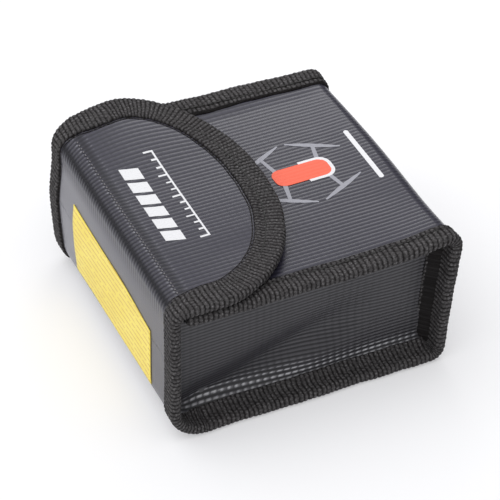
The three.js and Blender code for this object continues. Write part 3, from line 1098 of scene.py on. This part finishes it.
def add_aircraft_print():
    """A plain aircraft on the front panel: four arms with rotors, a body, and a rim round its +X end."""
    cx, cy = AIRCRAFT
    hub_x, hub_y = 10.0, 13.2
    blade_x, blade_y = 8.6, 4.6
    for far in (-1, 1):
        for right in (-1, 1):
            name = ("near", "far")[far > 0] + ("_left", "_right")[right > 0]
            x, y = cx + right * hub_x, cy + far * hub_y
            arm = bar(cx + right * 8.0, cy + far * 3.6, x, y, 1.7, 1.3)
            lean = -blade_y * far * right
            rotor = blade(x - blade_x, y - lean, x + blade_x, y + lean, 2.0)
            for part, outline in (("arm", arm), ("rotor", rotor)):
                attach(print_piece(f"print_{part}_{name}", outline, "grey_print", on_front), "pouch")
    body = stadium(cx, cy, 21.0, 9.6, 3.4)
    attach(print_piece("print_aircraft_body", body, "orange_print", on_front, 0.08), "pouch")

    start = cx + 1

    def turn(q):
        return math.atan2(q[1] - cy, q[0] - cx)

    outer = sorted((q for q in stadium(cx, cy, 23.6, 12.2, 4.6) if q[0] > start), key=turn)
    inner = sorted((q for q in body if q[0] > start), key=turn, reverse=True)
    rim = [(start, outer[0][1])] + outer + [(start, outer[-1][1]), (start, inner[0][1])] + inner
    rim += [(start, inner[-1][1])]
    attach(print_piece("print_aircraft_rim", rim, "white_print", on_front, 0.08), "pouch")


def add_flap_prints():
    """A row of slanted charge bars and a plain scale on the flap."""
    for k in range(6):
        low = -19.6 + 7.35 * k
        cell = [(-40.4, low + 1.3), (-33.4, low - 0.6), (-33.4, low + 5.0), (-40.4, low + 6.9)]
        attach(print_piece(f"print_charge_{k + 1}", cell, "white_print", on_flap), "flap")
    spine, foot = -24.6, -25.3
    scale = [(spine, -21.6), (spine, 28.4), (foot, 28.4)]
    for k in range(12, -1, -1):
        tick = -21.2 + 4.1 * k
        reach = -28.4 if k % 3 == 0 else -27.2
        scale += [(foot, tick + 0.45), (reach, tick + 0.45), (reach, tick - 0.35), (foot, tick - 0.35)]
    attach(print_piece("print_flap_scale", scale, "white_print", on_flap), "flap")


def add_prints():
    add_aircraft_print()
    rule = stadium(45.8, 2.5, 1.7, 31, 0.8)
    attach(print_piece("print_front_rule", rule, "white_print", on_front), "pouch")
    add_flap_prints()


def stitches(name, centres, along_dir, up, length, material):
    """A row of short raised threads. centres, along_dir and up are (n, 3) arrays in millimetres."""
    stations = ((-0.5, 0.35), (-0.28, 0.95), (0.28, 0.95), (0.5, 0.35))
    sides = 6
    points, faces = [], []
    for c, a, u in zip(centres, along_dir, up):
        base = len(points)
        across = np.cross(a, u)
        for t, r in stations:
            for k in range(sides):
                w = 2 * math.pi * k / sides
                reach = (across * math.cos(w) + u * math.sin(w)) * r * THREAD_WIDTH / 2
                points.append(c + a * t * length + reach)
        for i in range(base, base + 3 * sides, sides):
            for k in range(sides):
                n = (k + 1) % sides
                faces.append([i + k, i + n, i + sides + n, i + sides + k])
        faces.append([base + k for k in range(sides - 1, -1, -1)])
        faces.append([base + 3 * sides + k for k in range(sides)])
    return make_mesh(name, np.array(points), faces, material)


def row_directions(centres):
    """Which way a row of points runs at each of them."""
    step = np.gradient(centres, axis=0)
    return step / np.linalg.norm(step, axis=1)[:, None]


def add_stitches():
    """Dark rows that hold the tapes, and a light row along the fold on the flap, one stitch on each rib,
    whose pale thread also paints the rib tops' highlights there.
    """
    y = np.arange(-45.5, 45.6, RIB_PITCH)
    # One pale stitch on each rib: stitching whose light thread also stands in for painted highlights on the
    # rib tops.
    fold_row = strip_surface(np.full_like(y, S_FLAP + 1.0), y, np.full_like(y, 2.2 * RIB_HEIGHT))
    up = np.tile([0.0, 0.0, 1.0], (len(y), 1))
    piece = stitches("fold_stitches_and_highlights", fold_row, row_directions(fold_row), up, 0.9, LIGHT_THREAD)
    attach(piece, "flap")

    run, edge, out, normal = flap_edge()
    every = np.arange(60, len(run) - 60, 11)
    face = settle(edge[every] - 6.9 * out[every] - 0.18 * normal[every])
    piece = stitches("flap_stitches", face, row_directions(face), normal[every], 2.3, DARK_THREAD)
    blend_flap(piece)
    for name, side in SIDES:
        base, out, normal = strip_edge(np.arange(S_MOUTH + 3, S_BEND - 2, 3.2), side)
        face = settle(base - 6.1 * out - 0.15 * normal)
        piece = stitches(name + "_seam_stitches", face, row_directions(face), normal, 2.3, DARK_THREAD)
        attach(piece, "pouch")


def add_fastener():
    """Hook strip under the flap and loop strip on the front panel, both fuzzy."""
    for node, body in (("loop_strip", "pouch"), ("hook_strip", "flap")):
        x = np.linspace(cad(node, 0, "x"), cad(node, 1, "x"), 49)[:, None]
        y = np.linspace(cad(node, 0, "y"), cad(node, 1, "y"), 91)[None, :]
        z0, z1 = cad(node, 0, "z"), cad(node, 1, "z")
        fuzz = np.random.default_rng(71).uniform(-0.16, 0.16, (49, 91))
        face_z, back_z = (z1, z0) if node == "loop_strip" else (z0, z1)
        piece = shell(node + "_fuzz", stacked(x, y, face_z + fuzz), stacked(x, y, back_z),
                      np.full(fuzz.shape, 0.5), stacked(x, y, 0), FUZZ)
        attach(piece, body)
        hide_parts(node)


# ---- camera, room and table ----


def build_camera():
    """A far, narrow view from above on the left, framed by where the camera stands."""
    azimuth, elevation, roll = math.radians(-25.58), math.radians(40.06), math.radians(0.9)
    place = Matrix.Translation((-0.2941, -0.6170, 0.6024))
    aim = Matrix.Rotation(azimuth, 4, "Z") @ Matrix.Rotation(math.pi / 2 - elevation, 4, "X")
    data = bpy.data.cameras.new("camera")
    data.sensor_width = 36
    data.lens = 172.8
    data.clip_start = 0.01
    camera = bpy.data.objects.new("camera", data)
    bpy.context.scene.collection.objects.link(camera)
    camera.matrix_world = place @ aim @ Matrix.Rotation(roll, 4, "Z")
    bpy.context.scene.camera = camera


def build_room():
    """A white room that is bright above and dim at its sides."""
    world = bpy.data.worlds.new("room")
    bpy.context.scene.world = world
    n = Nodes("room", world)
    height = n.add("VectorMath", operation="DOT_PRODUCT")
    height.inputs[1].default_value = (-0.30, -0.10, 0.95)
    n.put(height.inputs[0], n.add("TexCoord").outputs["Generated"])
    strength = n.span(height.outputs["Value"], 0.16, 1.55, 0.15, 0.95)
    n.fill(n.tree.nodes["Background"], Color=(0.985, 0.988, 1.0), Strength=strength)


def build_table():
    """A pale table that runs out of view."""
    mesh = bpy.data.meshes.new("table")
    mesh.from_pydata([(-4, -4, 0), (4, -4, 0), (4, 4, 0), (-4, 4, 0)], [], [(0, 1, 2, 3)])
    table = bpy.data.objects.new("table", mesh)
    table.location.z = -0.0004
    bpy.context.scene.collection.objects.link(table)
    mesh.materials.append(Nodes("table").set(
        Base_Color=(0.64, 0.64, 0.645), Roughness=0.8, Specular_IOR_Level=0.1,
        Emission_Color=(0.985, 0.98, 1.0), Emission_Strength=0.325,
    ))


def add_light(name, kind, energy, direction):
    """A light that shines in the given direction."""
    light = bpy.data.objects.new(name, bpy.data.lights.new(name, kind))
    light.data.energy = energy
    light.rotation_mode = "QUATERNION"
    light.rotation_quaternion = direction.to_track_quat("-Z", "Y")
    bpy.context.scene.collection.objects.link(light)
    return light


def add_lights():
    """A wide soft sun from behind on the left, and a small window close behind the bag on the right."""
    sun = add_light("soft_sun", "SUN", 0.35, Vector((0.45, -0.35, -1.0)))
    sun.data.angle = math.radians(50)
    place, target = Vector((0.115, 0.25, 0.205)), Vector((0.03, 0.06, 0.06))
    window = add_light("window", "AREA", 0.11, target - place)
    window.location = place
    window.data.shape = "RECTANGLE"
    window.data.size, window.data.size_y = 0.15, 0.08


build_camera()
build_table()
build_room()
add_lights()
bpy.context.scene.view_settings.view_transform = "Standard"

add_strip()
add_linings()
for add_part in (add_gusset, add_seam_tape, add_lid_tape):
    for side_name, side_sign in SIDES:
        add_part(side_name, side_sign)
add_flap_tape()
add_mouth_tape()
add_label()
add_prints()
add_stitches()
add_fastener()
